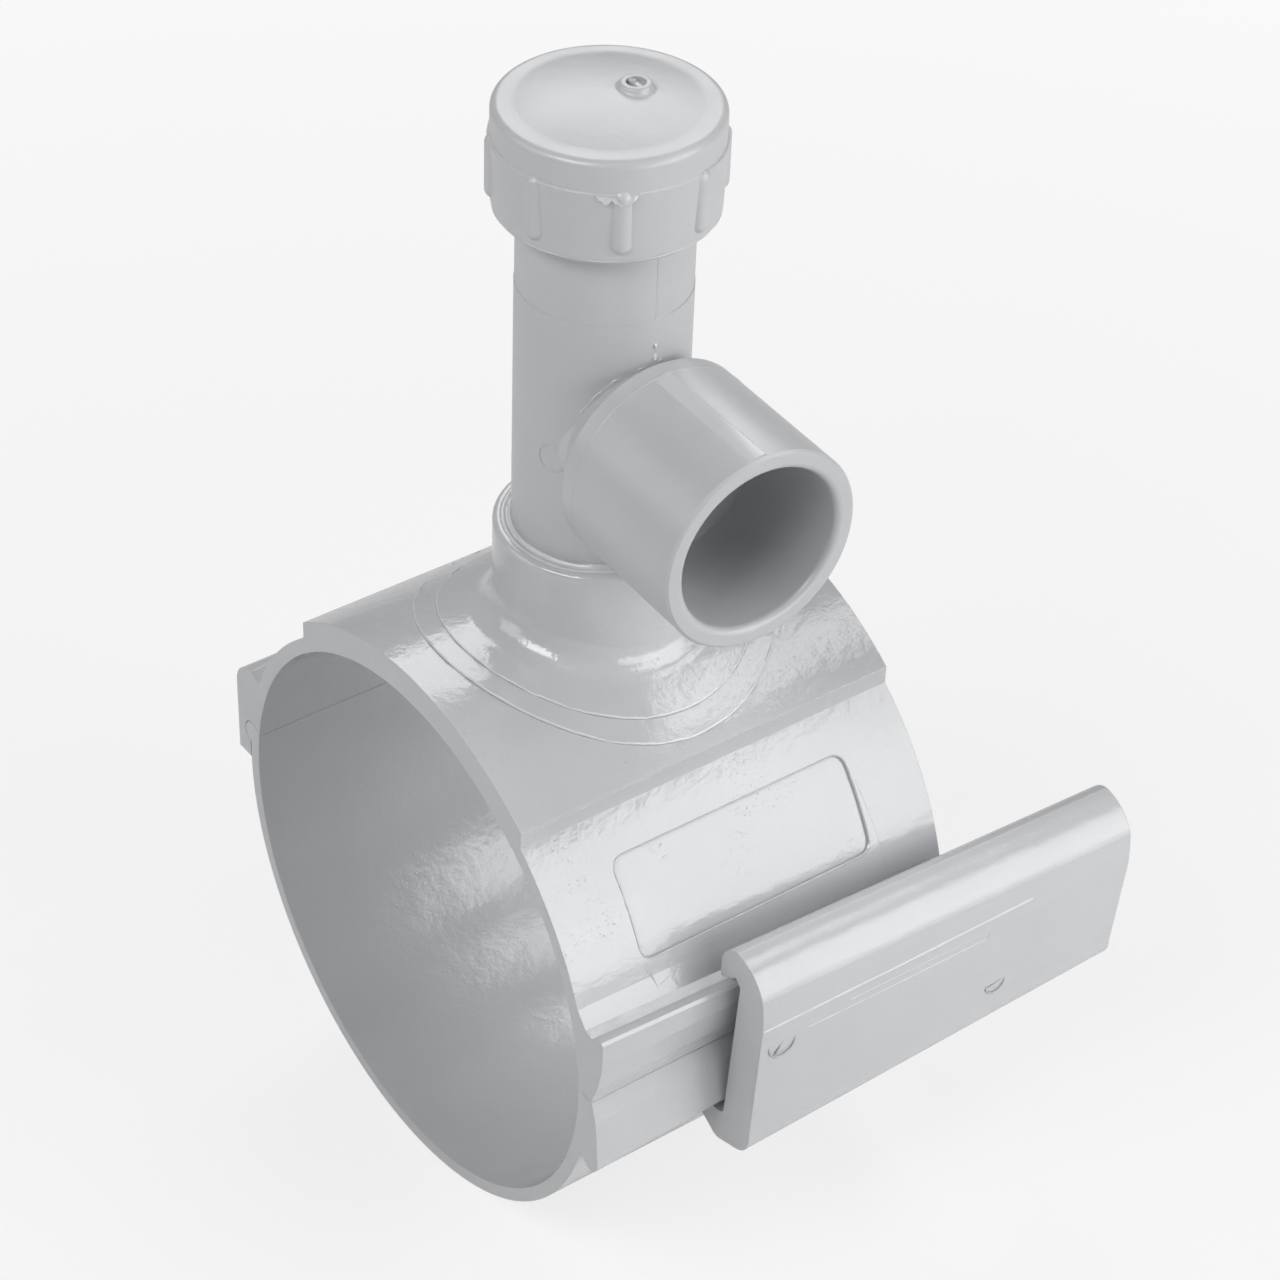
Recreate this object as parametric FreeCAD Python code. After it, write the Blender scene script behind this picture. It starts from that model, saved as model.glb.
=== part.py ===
import FreeCAD, Part
import os
from math import sin, cos, asin, radians, pi, sqrt

# Clamp-on tapping saddle for a 6 inch iron-pipe-size main, with a capped self-tapping tee.
# Frame: origin on the pipe axis under the tower, +X along the pipe, +Z up the tower, outlet to -Y.
# All lengths in millimetres, all angles in degrees.

# Saddle halves
saddle_length = 127.0
bore_r = 84.3
upper_wall = 4.5
lower_wall = 4.2
parting_z = 2.6
parting_gap = 0.2
pad_rise = 4.6
pad_half_width = 55.0
ring_big_r = 51.3
ring_small_r = 44.8
ring_rise = 0.6

# Boss that takes the tee
boss_r = 29.3
boss_height = 27.4
boss_flare = 9.0
boss_lip = 1.6
boss_lead_in = 1.6
socket_depth = 25.0
glue_gap = 0.08
port_r = 17.2

# Seal ring round the port
oring_inner_d = 46.99
oring_section = 5.33
oring_squeeze = 0.5
groove_side_gap = 0.45

# Bare recessed panel on the front wall
panel_half_length = 40.4
panel_top_angle = 46.4
panel_bottom_angle = 66.0
panel_depth = 0.8
panel_corner = 4.0

# Front flanges, wide at the -X end and narrower towards +X
flange_reach = 10.4
flange_root = 4.0
flange_top = 28.4
flange_bottom = 22.6
flange_slope_top = 0.052
flange_slope_bottom = 0.055
flange_edge = 0.8
cove_top = 32.4
cove_run = 4.3
hook_dip = 2.1
upper_knee = 7.1
upper_bend = 16.5
upper_knee_in = 1.8
lower_knee = 6.4
lower_knee_in = 2.1
lower_toe_in = 0.5
parting_in = 4.2
foot_round = 2.4

# Rear hook joint between the halves
hook_reach = 11.0
hook_shoulder = 35.9
hook_valley = 2.0
hook_root_in = 8.3
hook_round = 9.0
hook_foot = 1.0
bead_reach = 2.9
bead_z = 11.0
bead_r = 4.0
hook_gap = 0.25

# Locking wedge, a tapered C channel
wedge_length = 136.7
wedge_start = -19.8
wedge_home = -68.5
wedge_gap = 0.2
wedge_wall = 11.6
wedge_top = 12.0
wedge_foot = 10.0
wedge_slope_top = 0.050
wedge_slope_bottom = 0.030
wedge_lip_reach = 5.7
wedge_lip_gap = 0.7
wedge_toe_gap = 0.6
wedge_toe_round = 4.0
wedge_sill = 2.6
wedge_sill_slope = 1.8
wedge_sill_edge = 1.2
wedge_relief = 4.0
wedge_keel = 8.8
wedge_keel_drop = 2.2
wedge_crest = 6.6
wedge_crest_side = 7.4
wedge_shoulder = 9.4
wedge_bulge = 3.1
wedge_heel = 8.6
wedge_toe = 5.3

# Tee body, glued a little off square to the pipe. Its heights are above the boss rim.
tee_turn = -2.2
riser_r = 24.1
riser_height = 124.0
riser_step_height = 78.4
riser_step = 0.15
riser_bore_r = 18.4
riser_lead_in = 1.2
neck_length = 21.5
neck_r = 22.7
outlet_height = 36.1
outlet_r = 29.9
outlet_mouth = 75.4
outlet_root = 26.5
outlet_blend = 11.0
outlet_edge = 0.8
outlet_socket_r = 24.2
outlet_socket_depth = 37.7
outlet_bore_r = 19.6
mouth_round = 2.0

# Cap and its flat seal. Heights are above the cap's lower end.
cap_depth = 23.7
cap_line_height = 22.1
cap_line_step = 0.3
cap_r = 30.7
cap_skirt_r = 31.2
cap_skirt_low_r = 30.4
cap_foot_r = 27.8
cap_foot_height = 3.6
cap_rim_height = 28.9
cap_rim_round = 2.2
cap_dome = 2.6
cap_ledge = 3.2
cap_ledge_round = 9.0
cap_gap = 0.35
seal_thickness = 2.0
seal_gap = 0.05
seal_edge = 0.2
rib_count = 8
rib_first = -119.0
rib_width = 5.6
rib_rise = 1.7
rib_low_height = 4.1
rib_high_height = 23.3
gate_x = 7.2
gate_y = -1.4
gate_r = 4.4
gate_flare = 1.3
gate_height = 1.6
gate_edge = 0.9
gate_ring = 1.7
gate_bar = 1.4

# Cutter set inside the tower
cutter_r = 15.9
cutter_wall = 2.0
cutter_length = 33.0
cutter_tooth = 3.4
cutter_tooth_count = 6
tooth_land = 1.2
tooth_rake = 1.6
carrier_sink = 3.0
carrier_length = 30.0
carrier_gap = 0.08
carrier_spigot = 12.0
carrier_edge = 0.8
hex_across = 19.0
hex_depth = 18.0
coupon_hole_r = 5.0
ring_section = 2.4
ring_pocket_gap = 0.1
ring_from_top = 5.0

# Values that follow from the ones above
half = saddle_length / 2
beyond = half + 1
outside = 2 * bore_r
wall_r = bore_r + upper_wall
flange_face = bore_r + flange_reach
hook_face = bore_r + hook_reach
hook_root = bore_r - hook_root_in
bead_y = bore_r + bead_reach
wedge_lip = bore_r + wedge_lip_reach
shell_r = bore_r + lower_wall
pad_r = wall_r + pad_rise
step_r = pad_r + ring_rise * 2
boss_top = step_r + boss_height
flare_top = step_r + boss_flare
socket_r = riser_r + glue_gap
socket_floor = boss_top - socket_depth
tee_bottom = socket_floor + glue_gap
riser_top = boss_top + riser_height
riser_step_z = boss_top + riser_step_height
neck_bottom = riser_top - neck_length
outlet_z = boss_top + outlet_height
oring_r = (oring_inner_d + oring_section) / 2
groove_depth = oring_section - oring_squeeze
groove_half = oring_section / 2 + groove_side_gap
outlet_floor = outlet_mouth - outlet_socket_depth
cap_bore_r = riser_r + cap_gap
cap_bottom_z = riser_top - cap_depth
cap_line_z = cap_bottom_z + cap_line_height
cap_rim_z = cap_bottom_z + cap_rim_height
rib_bottom_z = cap_bottom_z + rib_low_height
rib_top_z = cap_bottom_z + rib_high_height
cap_rim_top = cap_rim_z + cap_rim_round
cap_top = cap_rim_top + cap_dome
seal_bottom = riser_top + seal_gap
cap_ceiling = seal_bottom + seal_thickness + seal_gap
carrier_r = riser_bore_r - carrier_gap
carrier_top = riser_top - carrier_sink
cutter_top = carrier_top - carrier_length
cutter_teeth_z = cutter_top - cutter_length
cutter_bore_r = cutter_r - cutter_wall
carrier_bottom = cutter_top - carrier_spigot
ring_z = carrier_top - ring_from_top
ring_centre_r = riser_bore_r - ring_section / 2 - ring_pocket_gap / 4
corner = 1 - sqrt(0.5)


def vec(x, y, z):
    return FreeCAD.Vector(x, y, z)


X = vec(1, 0, 0)
Z = vec(0, 0, 1)


def along_x(r, x0=-half, x1=half, y=0.0, z=0.0):
    return Part.makeCylinder(r, x1 - x0, vec(x0, y, z), X)


def along_z(r, z0, z1, x=0.0, y=0.0):
    return Part.makeCylinder(r, z1 - z0, vec(x, y, z0), Z)


def block(x0, x1, y0, y1, z0, z1):
    return Part.makeBox(x1 - x0, y1 - y0, z1 - z0, vec(x0, y0, z0))


# A closed outline in a plane across the pipe: each step is a point, or a middle and an end of an arc.
def outline(x, start, steps):
    here = start
    edges = []
    for step in steps:
        if len(step) == 2:
            edges.append(Part.LineSegment(vec(x, *here), vec(x, *step)).toShape())
            here = step
        else:
            middle, end = step[:2], step[2:]
            edges.append(Part.Arc(vec(x, *here), vec(x, *middle), vec(x, *end)).toShape())
            here = end
    return Part.Wire(edges)


def prism(start, steps):
    return Part.Face(outline(-half, start, steps)).extrude(vec(saddle_length, 0, 0))


# An outline of radius and height turned once round Z. arcs maps a side's first point to its middle.
def turned(points, arcs):
    edges = []
    for i, (r, z) in enumerate(points):
        r_next, z_next = points[(i + 1) % len(points)]
        here, there = vec(r, 0, z), vec(r_next, 0, z_next)
        if i in arcs:
            middle = vec(arcs[i][0], 0, arcs[i][1])
            edges.append(Part.Arc(here, middle, there).toShape())
        else:
            edges.append(Part.LineSegment(here, there).toShape())
    return Part.Face(Part.Wire(edges)).revolve(vec(0, 0, 0), Z, 360)


def turn_to_outlet(shape):
    shape.rotate(vec(0, 0, 0), X, 90)
    shape.translate(vec(0, 0, outlet_z))
    return shape


# Upper flange outline at a station along the pipe, y outwards is negative.
def upper_flange(x):
    top = flange_top - flange_slope_top * (x + half)
    root = -bore_r + flange_root
    return outline(x, (root, cove_top), [
        (-wall_r + cove_run + hook_dip, cove_top),
        (-wall_r + hook_dip, top - hook_dip / 2),
        (-wall_r - flange_edge, top - hook_dip),
        (-flange_face + flange_edge, top),
        (-flange_face, top - flange_edge),
        (-flange_face, parting_z + upper_bend),
        (-flange_face + upper_knee_in, parting_z + upper_knee),
        (-flange_face + parting_in, parting_z),
        (root, parting_z),
        (root, cove_top)])


def lower_flange(x):
    foot = -flange_bottom + flange_slope_bottom * (x + half)
    top = parting_z - parting_gap
    root = -bore_r + flange_root
    return outline(x, (root, top), [
        (-flange_face + parting_in, top),
        (-flange_face + lower_knee_in, top - lower_knee),
        (-flange_face + lower_toe_in, foot + foot_round),
        (-flange_face + foot_round, foot - foot_round * 0.38,
         -flange_face + foot_round * 2, foot - foot_round * 0.58),
        (-bore_r - lower_wall * 0.4, foot + foot_round * 0.7),
        (root, foot + foot_round * 0.7),
        (root, top)])


# Boss on its low step ring, with the wide flare at its root and a rounded rim.
def make_boss():
    ring = along_x(step_r).common(along_z(ring_small_r, 0, pad_r + boss_flare))
    boss = ring.fuse(along_z(boss_r, bore_r, boss_top))
    boss = boss.makeFillet(boss_flare, [e for e in boss.Edges if is_boss_root(e)])
    return boss.makeFillet(boss_lip, [e for e in boss.Edges if e.BoundBox.ZMin > boss_top - 0.01])


def is_boss_root(edge):
    box = edge.BoundBox
    return abs(box.XMax - boss_r) < 0.2 and abs(box.YMax - boss_r) < 0.2 and box.ZMax < flare_top


# Rear hook: a square-shouldered rail with one big outer round.
def make_hook():
    return prism((hook_root, hook_foot), [
        (hook_face, hook_foot),
        (hook_face, hook_shoulder - hook_round),
        (hook_face - hook_round * corner, hook_shoulder - hook_round * corner,
         hook_face - hook_round, hook_shoulder),
        (bore_r - hook_valley, hook_shoulder - hook_valley),
        (hook_root, hook_shoulder - hook_valley),
        (hook_root, hook_foot)])


# Upper half: arch, raised pad, step rings, boss, front flange and rear hook as one moulding.
def make_upper_saddle():
    arch = along_x(wall_r)
    pad = along_x(pad_r).common(block(-half, half, -pad_half_width, pad_half_width, 0, outside))
    ring = along_x(pad_r + ring_rise).common(along_z(ring_big_r, 0, step_r))
    flange = Part.makeLoft([upper_flange(-half), upper_flange(half)], True, True)
    body = arch.fuse([pad, ring, make_boss(), flange])
    body = body.cut(block(-beyond, beyond, -outside, 0, -outside, parting_z))
    body = body.cut(block(-beyond, beyond, -1, outside, -outside, bead_z))
    body = body.fuse(make_hook())
    # The pocket lets the lower half's bead and neck in from below with a small gap.
    neck = block(-beyond, beyond, 0, shell_r + hook_gap, 0, bead_z)
    pocket = along_x(bead_r + hook_gap, -beyond, beyond, bead_y, bead_z)
    body = body.cut([along_x(bore_r, -beyond, beyond), neck, pocket])
    # Socket for the tee, then the port that the cutter passes through.
    body = body.cut(along_z(socket_r, socket_floor, boss_top + 1))
    body = body.cut(along_z(port_r, 0, boss_top))
    body = body.cut(Part.makeCone(socket_r, socket_r + boss_lead_in, boss_lead_in,
                                  vec(0, 0, boss_top - boss_lead_in), Z))
    groove = along_z(oring_r + groove_half, 0, outside).cut(along_z(oring_r - groove_half, 0, outside))
    body = body.cut(groove.common(along_x(bore_r + groove_depth)))
    body = body.cut(make_panel())
    return body.removeSplitter()


# The recessed panel follows the wall: rounded outline pressed square through the wall, down to one depth.
def make_panel():
    middle = (panel_top_angle + panel_bottom_angle) / 2
    span = wall_r * radians(panel_bottom_angle - panel_top_angle)
    slab = block(-panel_half_length, panel_half_length, -span / 2, span / 2, wall_r / 2, outside)
    slab = slab.makeFillet(panel_corner, [e for e in slab.Edges if e.BoundBox.ZLength > wall_r / 2])
    slab.rotate(vec(0, 0, 0), X, middle)
    return slab.cut(along_x(wall_r - panel_depth))


# Lower half: round shell, front flange and rear bead as one moulding.
def make_lower_saddle():
    shell = along_x(shell_r)
    shell = shell.cut(block(-beyond, beyond, -outside, 0, parting_z - parting_gap, outside))
    shell = shell.cut(block(-beyond, beyond, -1, outside, bead_z, outside))
    flange = Part.makeLoft([lower_flange(-half), lower_flange(half)], True, True)
    bead = along_x(bead_r, y=bead_y, z=bead_z)
    body = shell.fuse([flange, bead])
    body = body.cut(along_x(bore_r, -beyond, beyond))
    return body.removeSplitter()


# Seal ring laid in its groove: a round section swept along the curve where the port meets the bore.
def make_oring():
    lie_r = bore_r + groove_depth - oring_section / 2
    count = 24
    points = []
    for i in range(count):
        a = 2 * pi * i / count
        x, y = oring_r * cos(a), oring_r * sin(a)
        points.append(vec(x, y, sqrt(lie_r ** 2 - y ** 2)))
    curve = Part.BSplineCurve()
    curve.interpolate(points, PeriodicFlag=True)
    start = curve.value(curve.FirstParameter)
    ahead = curve.tangent(curve.FirstParameter)[0]
    sweep = Part.BRepOffsetAPI.MakePipeShell(Part.Wire(curve.toShape()))
    sweep.setBiNormalMode(Z)
    sweep.add(Part.Wire(Part.makeCircle(oring_section / 2, start, ahead)))
    sweep.build()
    sweep.makeSolid()
    # The pipe presses the ring flat, level with the bore.
    return sweep.shape().cut(along_x(bore_r, -beyond, beyond))


# Wedge outline, a distance along from its wide end. The inside follows the flanges as they lie at home.
def wedge_outline(along):
    x = wedge_start + along
    at_home = wedge_home + half + along
    top = flange_top - flange_slope_top * at_home
    foot = -flange_bottom + flange_slope_bottom * at_home
    crest = flange_top + wedge_top - wedge_slope_top * along
    sole = -flange_bottom - wedge_foot + wedge_slope_bottom * along
    back = -flange_face - wedge_wall
    lip_z = top - hook_dip + wedge_lip_gap
    lip = -wedge_lip
    front = back - wedge_bulge
    side = crest - wedge_crest_side
    mouth = -flange_face
    sill = foot - wedge_sill
    toe = -sqrt((shell_r + wedge_toe_gap) ** 2 - sill ** 2)
    return outline(x, (lip, lip_z), [
        (lip, side),
        (lip - wedge_crest * corner, side + wedge_crest_side * 0.65, lip - wedge_crest, crest),
        (lip - wedge_crest * 2.06, crest - wedge_shoulder * corner,
         front + wedge_bulge * 0.26, crest - wedge_shoulder),
        (front + wedge_bulge * 0.03, crest - wedge_shoulder * 1.6, front, crest - wedge_shoulder * 2.3),
        (back - wedge_bulge * 0.13, sole + wedge_heel),
        (back + wedge_toe * 0.17, sole + wedge_heel * 0.35, back + wedge_toe, sole),
        (toe - wedge_keel, sole - wedge_keel_drop),
        (toe - wedge_keel * 0.75, sole - wedge_keel_drop * 1.1,
         toe - wedge_keel * 0.52, sole - wedge_keel_drop * 0.64),
        (toe - wedge_toe_round * 0.1, sole + wedge_toe_round * 0.3),
        (toe + wedge_toe_round * 0.08, sole + wedge_toe_round * 0.8, toe, sill - wedge_gap),
        (mouth + wedge_sill_edge * 0.6, sill + wedge_sill_slope - wedge_gap),
        (mouth - wedge_gap, sill + wedge_sill_slope + wedge_sill_edge - wedge_gap),
        (mouth - wedge_relief, top + wedge_gap),
        (mouth - wedge_relief * 0.43, top + wedge_relief * 0.57 + wedge_gap),
        (mouth + wedge_relief * 0.03, top + wedge_relief * 0.15 + wedge_gap),
        (lip, lip_z)])


def make_wedge():
    return Part.makeLoft([wedge_outline(0.0), wedge_outline(wedge_length)], True, True)


# Tee body: riser with cap neck, big outlet socket with a sloped shoulder, all one moulding.
def make_tee_body():
    low = along_z(riser_r, tee_bottom, riser_step_z)
    high = along_z(riser_r - riser_step, riser_step_z, neck_bottom)
    neck = along_z(neck_r, neck_bottom, riser_top)
    inside = (riser_r + riser_bore_r) / 2
    outlet = turned([
        (0, 0), (inside, 0), (inside, outlet_root - outlet_blend), (outlet_r, outlet_root),
        (outlet_r, outlet_mouth - outlet_edge), (outlet_r - outlet_edge, outlet_mouth),
        (0, outlet_mouth)], {})
    body = low.fuse([high, neck, turn_to_outlet(outlet)])
    m = mouth_round
    hollow = turned([
        (0, 0), (outlet_bore_r, 0), (outlet_bore_r, outlet_floor), (outlet_socket_r, outlet_floor),
        (outlet_socket_r, outlet_mouth - m), (outlet_socket_r + m, outlet_mouth),
        (outlet_socket_r + m, outlet_mouth + 1), (0, outlet_mouth + 1)],
        {4: (outlet_socket_r + m * corner, outlet_mouth - m * corner)})
    body = body.cut([turn_to_outlet(hollow), along_z(riser_bore_r, tee_bottom - 1, riser_top + 1)])
    body = body.cut(Part.makeCone(riser_bore_r, riser_bore_r + riser_lead_in, riser_lead_in,
                                  vec(0, 0, riser_top - riser_lead_in), Z))
    body = body.removeSplitter()
    body.rotate(vec(0, 0, 0), Z, tee_turn)
    return body


# Cap: low dome, rounded rim, skirt with grip ribs, and the moulding gate off centre on top.
def make_cap():
    flat = cap_r - cap_rim_round
    dome_edge = flat - cap_ledge
    dome_r = (dome_edge ** 2 + cap_dome ** 2) / (2 * cap_dome)
    lean = asin(dome_edge / dome_r) / 2
    foot_step = cap_skirt_low_r - cap_foot_r
    body = turned([
        (0, cap_bottom_z), (cap_foot_r, cap_bottom_z), (cap_skirt_low_r, cap_bottom_z + cap_foot_height),
        (cap_skirt_r, cap_line_z), (cap_r, cap_line_z + cap_line_step), (cap_r, cap_rim_z),
        (flat, cap_rim_top), (dome_edge, cap_rim_top), (0, cap_top)],
        {1: (cap_skirt_low_r - foot_step * corner, cap_bottom_z + cap_foot_height * corner),
         5: (cap_r - cap_rim_round * corner, cap_rim_top - cap_rim_round * corner),
         7: (dome_r * sin(lean), cap_top - dome_r * (1 - cos(lean)))})
    body = body.makeFillet(cap_ledge_round, [e for e in body.Edges if is_dome_edge(e, dome_edge)])
    body.rotate(vec(0, 0, 0), Z, rib_first + 180.0 / rib_count)
    gate_top = cap_top + gate_height
    body = body.fuse(along_z(gate_r, cap_rim_top, gate_top, gate_x, gate_y))
    body = body.makeFillet(gate_flare, [e for e in body.Edges if is_gate_edge(e, cap_rim_top, cap_top)])
    body = body.makeFillet(gate_edge, [e for e in body.Edges if is_gate_edge(e, cap_top, gate_top)])
    for i in range(rib_count):
        rib = make_rib()
        rib.rotate(vec(0, 0, 0), Z, rib_first + 360.0 * i / rib_count)
        body = body.fuse(rib)
    well_r = gate_r - gate_ring
    well = along_z(well_r, cap_top, gate_top + 1, gate_x, gate_y)
    bar = block(gate_x - gate_bar / 2, gate_x + gate_bar / 2, gate_y - well_r, gate_y + well_r,
                cap_top, gate_top - gate_edge / 2)
    body = body.cut(well.cut(bar))
    body = body.cut(along_z(cap_bore_r, cap_bottom_z - 1, cap_ceiling))
    return body.removeSplitter()


def is_dome_edge(edge, dome_edge):
    box = edge.BoundBox
    return abs(box.XMax - dome_edge) < 0.2 and abs(box.ZMax - cap_rim_top) < 0.2 and box.ZLength < 0.2


# The gate's root or top: a ring of the gate's own width that lies between two heights.
def is_gate_edge(edge, low, high):
    box = edge.BoundBox
    return abs(box.XLength - gate_r * 2) < 0.2 and low < box.ZMin and box.ZMax < high + 0.01


# One grip rib: an upright bar with ball ends, half sunk in the skirt.
def make_rib():
    w = rib_width / 2
    x = cap_skirt_low_r + rib_rise - w
    bar = along_z(w, rib_bottom_z + w, rib_top_z - w, x)
    ends = [Part.makeSphere(w, vec(x, 0, z)) for z in (rib_bottom_z + w, rib_top_z - w)]
    return bar.fuse(ends)


def make_cap_seal():
    ring = along_z(riser_r - seal_edge, seal_bottom, seal_bottom + seal_thickness)
    return ring.cut(along_z(riser_bore_r + riser_lead_in, seal_bottom - 1, cap_ceiling + 1))


# Carrier: threaded plug with a hex drive, a spigot that holds the cutter and a groove for its ring.
def make_carrier():
    body = along_z(carrier_r, cutter_top, carrier_top)
    body = body.fuse(along_z(cutter_bore_r, carrier_bottom, cutter_top))
    edge = [e for e in body.Edges if e.BoundBox.ZMin > carrier_top - 0.01]
    body = body.makeChamfer(carrier_edge, edge)
    hex_r = hex_across / sqrt(3)
    floor = carrier_top - hex_depth
    corners = [vec(hex_r * cos(pi * i / 3), hex_r * sin(pi * i / 3), floor) for i in range(7)]
    socket = Part.Face(Part.makePolygon(corners)).extrude(vec(0, 0, hex_depth + 1))
    hole = along_z(coupon_hole_r, carrier_bottom - 1, carrier_top)
    pocket_half = ring_section / 2 + ring_pocket_gap
    band = along_z(carrier_r + 1, ring_z - pocket_half, ring_z + pocket_half)
    band = band.cut(along_z(ring_centre_r - pocket_half, ring_z - ring_section, ring_z + ring_section))
    return body.cut([socket, hole, band])


def make_carrier_ring():
    return Part.makeTorus(ring_centre_r, ring_section / 2, vec(0, 0, ring_z), Z)


# Cutter: a thin tube with slanted saw teeth at its lower end.
def make_cutter():
    tube = along_z(cutter_r, cutter_teeth_z, cutter_top)
    tube = tube.cut(along_z(cutter_bore_r, cutter_teeth_z - 1, cutter_top + 1))
    step = 360.0 / cutter_tooth_count
    wide = cutter_r * sin(radians(step / 2))
    low = cutter_teeth_z - 1
    high = cutter_teeth_z + cutter_tooth
    notches = []
    for i in range(cutter_tooth_count):
        corners = [vec(0, -wide, low), vec(0, wide - tooth_land, low), vec(0, wide - tooth_land, cutter_teeth_z),
                   vec(0, -wide + tooth_rake, high), vec(0, -wide, high), vec(0, -wide, low)]
        notch = Part.Face(Part.makePolygon(corners)).extrude(vec(cutter_r * 1.2, 0, 0))
        notch.rotate(vec(0, 0, 0), Z, step * i)
        notches.append(notch)
    return tube.cut(notches)


nodes = {
    "upper_saddle": make_upper_saddle,
    "lower_saddle": make_lower_saddle,
    "branch_oring": make_oring,
    "wedge": make_wedge,
    "tee_body": make_tee_body,
    "cap": make_cap,
    "cap_seal": make_cap_seal,
    "cutter_carrier": make_carrier,
    "carrier_oring": make_carrier_ring,
    "cutter": make_cutter,
}

os.makedirs("parts", exist_ok=True)
for name, make in nodes.items():
    shape = make()
    volume = round(shape.Volume / 1000, 2)
    print(name, "solids", len(shape.Solids), "valid", shape.isValid(), "cm3", volume)
    shape.exportStep("parts/" + name + ".step")
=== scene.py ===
# %% [markdown]
# # A tapping saddle in grey moulded plastic
# A tapered wedge locks the saddle's two halves, and a capped tower with a side outlet is cemented
# into its boss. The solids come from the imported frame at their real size. This file gives them
# their finish, adds the fine detail that is too small for the solids, and lights them like a
# catalogue photograph.

# %% Load the frame
from math import sin, cos, pi, radians, degrees, hypot, sqrt, atan2

import bmesh
import bpy
from mathutils import Matrix, Vector, noise as unevenness


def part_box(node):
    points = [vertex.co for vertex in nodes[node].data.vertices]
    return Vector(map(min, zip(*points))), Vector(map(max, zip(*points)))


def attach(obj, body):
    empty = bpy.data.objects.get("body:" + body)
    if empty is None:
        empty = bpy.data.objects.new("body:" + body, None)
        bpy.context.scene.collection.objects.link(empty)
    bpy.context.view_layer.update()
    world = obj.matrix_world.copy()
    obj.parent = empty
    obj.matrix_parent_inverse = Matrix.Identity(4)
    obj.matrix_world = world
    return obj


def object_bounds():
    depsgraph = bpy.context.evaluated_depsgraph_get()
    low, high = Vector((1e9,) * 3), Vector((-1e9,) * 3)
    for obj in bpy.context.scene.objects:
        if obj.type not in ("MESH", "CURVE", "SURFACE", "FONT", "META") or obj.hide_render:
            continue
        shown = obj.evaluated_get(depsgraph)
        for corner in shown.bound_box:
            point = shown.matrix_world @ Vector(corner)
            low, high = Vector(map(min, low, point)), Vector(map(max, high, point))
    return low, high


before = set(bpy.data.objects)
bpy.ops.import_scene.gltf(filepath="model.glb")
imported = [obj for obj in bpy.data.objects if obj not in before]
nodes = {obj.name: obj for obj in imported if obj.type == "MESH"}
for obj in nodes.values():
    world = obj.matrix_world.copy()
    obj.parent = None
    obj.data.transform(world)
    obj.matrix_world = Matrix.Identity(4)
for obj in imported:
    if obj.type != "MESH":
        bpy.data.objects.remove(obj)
cad_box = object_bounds()
print("nodes:", ", ".join(sorted(nodes)))

# %% [markdown]
# The plans are in millimetres and Blender works in metres, so one factor turns one into the other.
# A few sizes are read back from the frame, so that the detail follows the solids.

# %% Sizes
MM = 0.001


def node_box(name):
    low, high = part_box(name)
    return [round(v / MM, 3) for v in low], [round(v / MM, 3) for v in high]


saddle_low, saddle_high = node_box("upper_saddle")
tee_high = node_box("tee_body")[1]
wedge_low, wedge_high = node_box("wedge")
boss_top = saddle_high[2]
riser_top = tee_high[2]
riser_r = tee_high[1]
tee_turn = radians(-2.2)
print("boss top", boss_top, "riser", riser_r, "x", riser_top)
print("wedge from", wedge_low[0], "to", wedge_high[0])

# %% [markdown]
# ## The camera
# The photograph's camera was worked out from the ends of the saddle, its rings and the tower.
# It stands about a metre away, to the left of the outlet and above it, with a long lens.
# Its focal length is in pixels of a 1280 pixel frame, which a 36 mm sensor turns into a lens.

# %% Camera
picture = 1280.0
focal_px = 3521.4
camera_azimuth = radians(-37.651)
camera_height = radians(38.714)
camera_roll = radians(2.295)
origin_depth = 1056.6 * MM
origin_px = (587.84, 840.40)


def direction(azimuth, height):
    """The way to something seen from the object; azimuth 0 is the outlet's side."""
    return Vector((sin(azimuth) * cos(height), -cos(azimuth) * cos(height), sin(height)))


back = direction(camera_azimuth, camera_height)
level = Vector((cos(camera_azimuth), sin(camera_azimuth), 0.0))
upright = back.cross(level)
right = cos(camera_roll) * level + sin(camera_roll) * upright
up = cos(camera_roll) * upright - sin(camera_roll) * level
across = (origin_px[0] - picture / 2) * origin_depth / focal_px
above = -(origin_px[1] - picture / 2) * origin_depth / focal_px

camera_data = bpy.data.cameras.new("camera")
camera_data.sensor_width = 36.0
camera_data.lens = focal_px / picture * camera_data.sensor_width
camera = bpy.data.objects.new("camera", camera_data)
turn = Matrix((right, up, back)).transposed().to_4x4()
camera.matrix_world = Matrix.Translation(back * origin_depth - right * across - up * above) @ turn
bpy.context.scene.collection.objects.link(camera)
bpy.context.scene.camera = camera
camera_place = [round(v, 3) for v in camera.matrix_world.translation]
print("lens %.1f mm, camera at" % camera_data.lens, camera_place)

# %% [markdown]
# ## Materials by nodes
# Every finish is built from the same few steps: a shade, a roughness and a bump, each broken up by
# noise on object coordinates. Short helpers keep a node tree readable, because each makes a node,
# sets its sockets and returns what it gives in one line.

# %% Node helpers


def node(tree, kind, **inputs):
    made = tree.nodes.new(kind)
    for name, value in inputs.items():
        made.inputs[name.replace("_", " ")].default_value = value
    return made


def new_material(name):
    material = bpy.data.materials.new(name)
    material.use_nodes = True
    tree = material.node_tree
    tree.nodes.clear()
    shader = node(tree, "ShaderNodeBsdfPrincipled")
    output = node(tree, "ShaderNodeOutputMaterial")
    tree.links.new(shader.outputs["BSDF"], output.inputs["Surface"])
    return material, tree, shader


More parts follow.
